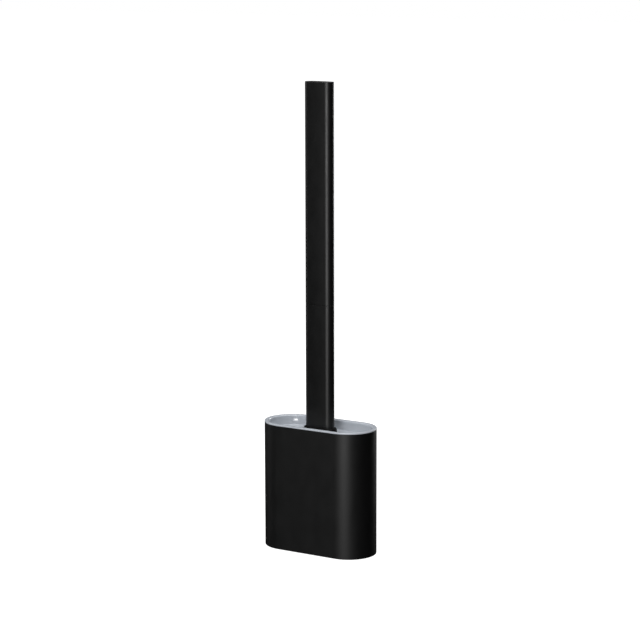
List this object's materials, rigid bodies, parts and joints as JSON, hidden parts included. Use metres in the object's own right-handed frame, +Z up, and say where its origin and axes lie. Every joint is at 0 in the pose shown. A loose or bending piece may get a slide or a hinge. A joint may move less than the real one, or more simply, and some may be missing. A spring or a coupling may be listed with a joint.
{
  "type": "toilet brush holder",
  "caption": "Slim round-ended toilet brush holder with a lift-out liner and a flat brush on a two-piece plug-together handle.",
  "frame": {"origin": "centre of the holder, on the surface it stands on", "axes": "+Z up along the handle, X along the wide side of the holder, Y along its thin side"},
  "size_m": [0.121, 0.055, 0.4638],
  "materials": {
    "black_shell": "matte moulded, fine texture",
    "black_handle": "satin moulded",
    "black_collar": "satin moulded",
    "black_plug": "satin moulded",
    "black_inner": "plain moulded",
    "grey_plastic": "semi-gloss moulded",
    "grey_core": "plain moulded",
    "bristle_rubber": "soft, matte",
    "foot_rubber": "soft, matte",
    "steel": "plain"
  },
  "bodies": {
    "casing": {"casing_sleeve": "black_shell", "base_plate": "black_inner", "base_screws": "steel", "non_slip_feet": "foot_rubber", "drip_tray": "grey_plastic"},
    "liner": {"liner_cup": "grey_plastic"},
    "brush": {"lower_handle_tube": "black_handle", "joint_socket": "black_inner", "head_adapter": "black_inner", "head_pins": "steel", "head_collar": "black_collar", "head_core": "grey_core", "bristle_sleeve": "bristle_rubber"},
    "upper_handle": {"upper_handle_tube": "black_handle", "joint_plug": "black_plug", "joint_ring": "foot_rubber", "handle_top_cap": "black_handle"}
  },
  "joints": [
    {"name": "liner_lift", "type": "slide", "parent": "casing", "child": "liner", "axis": [0, 0, 1], "range_m": [0, 0.125]},
    {"name": "brush_lift", "type": "slide", "parent": "liner", "child": "brush", "axis": [0, 0, 1], "range_m": [0, 0.12]},
    {"name": "handle_unplug", "type": "slide", "parent": "brush", "child": "upper_handle", "axis": [0, 0, 1], "range_m": [0, 0.035]}
  ]
}
